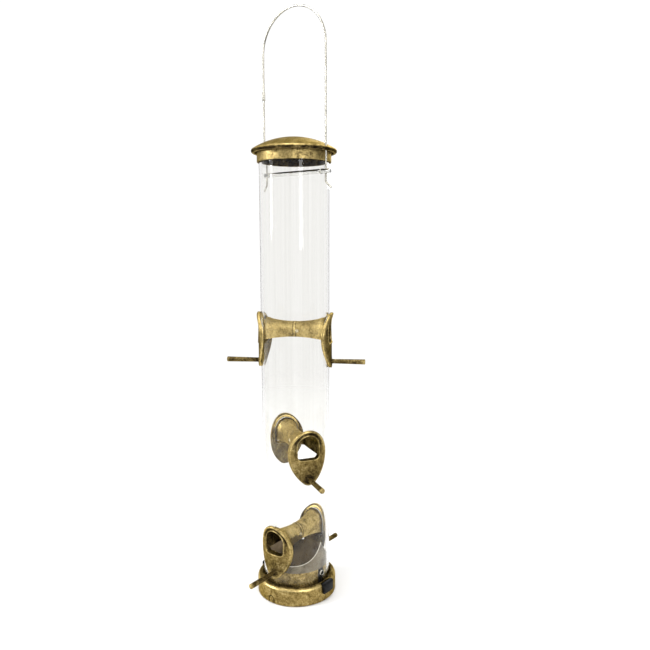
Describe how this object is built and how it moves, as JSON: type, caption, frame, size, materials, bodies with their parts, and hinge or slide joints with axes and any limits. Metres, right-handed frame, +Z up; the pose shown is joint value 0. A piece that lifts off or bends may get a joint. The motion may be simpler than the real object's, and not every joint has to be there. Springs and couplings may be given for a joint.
{
  "type": "hanging tube bird feeder",
  "caption": "Clear tube seed feeder with cast antique-brass ports, perches and rim, a lid that slides up its wire bail, and a push-latch base.",
  "frame": {"origin": "centre of the base's underside, on the tube's axis", "axes": "+Z up along the tube; X through the two latches and the plane of the bail; -Y through the front lower port"},
  "size_m": [0.1278, 0.1444, 0.5963],
  "materials": {
    "clear_tube": "clear extruded tube, faint warm grey tint, gloss",
    "antique_brass": "antique brass plate over a die casting, dark patina in the hollows, rubbed bright on the edges",
    "polished_rod": "polished bright",
    "stainless_wire": "drawn stainless wire",
    "rivet_steel": "plain steel",
    "spring_steel": "spring wire",
    "smoky_plastic": "translucent smoke grey-brown moulding",
    "black_plastic": "black moulding, satin"
  },
  "bodies": {
    "base": {"base_casting": "antique_brass", "seed_deflector": "smoky_plastic", "deflector_screws": "rivet_steel", "latch_spring_right": "spring_steel", "latch_spring_left": "spring_steel"},
    "seed_tube": {"tube": "clear_tube", "cross_rod": "polished_rod", "bail": "stainless_wire", "bail_splice": "stainless_wire", "hood_pins": "rivet_steel", "port_upper_right": "antique_brass", "port_upper_left": "antique_brass", "port_middle_right": "antique_brass", "port_middle_left": "antique_brass", "port_lower_front": "antique_brass", "port_lower_back": "antique_brass", "perch_upper_right": "antique_brass", "perch_upper_left": "antique_brass", "perch_middle_right": "antique_brass", "perch_middle_left": "antique_brass", "perch_lower_front": "antique_brass", "perch_lower_back": "antique_brass"},
    "cap": {"lid": "antique_brass"},
    "right_latch": {"latch_button_right": "black_plastic", "lock_pin_right": "black_plastic"},
    "left_latch": {"latch_button_left": "black_plastic", "lock_pin_left": "black_plastic"}
  },
  "joints": [
    {"name": "tube_lift", "type": "slide", "parent": "base", "child": "seed_tube", "axis": [0, 0, 1], "range_m": [0, 0.08], "deforming": ["lock_pin_right", "lock_pin_left"]},
    {"name": "lid_lift", "type": "slide", "parent": "seed_tube", "child": "cap", "axis": [0, 0, 1], "range_m": [0, 0.08]},
    {"name": "right_latch_press", "type": "slide", "parent": "base", "child": "right_latch", "axis": [-1, 0, 0], "range_m": [0, 0.0024], "stiffness_N_per_m": 900, "springref_m": -0.003, "deforming": ["latch_spring_right"]},
    {"name": "left_latch_press", "type": "slide", "parent": "base", "child": "left_latch", "axis": [1, 0, 0], "range_m": [0, 0.0024], "stiffness_N_per_m": 900, "springref_m": -0.003, "deforming": ["latch_spring_left"]}
  ]
}
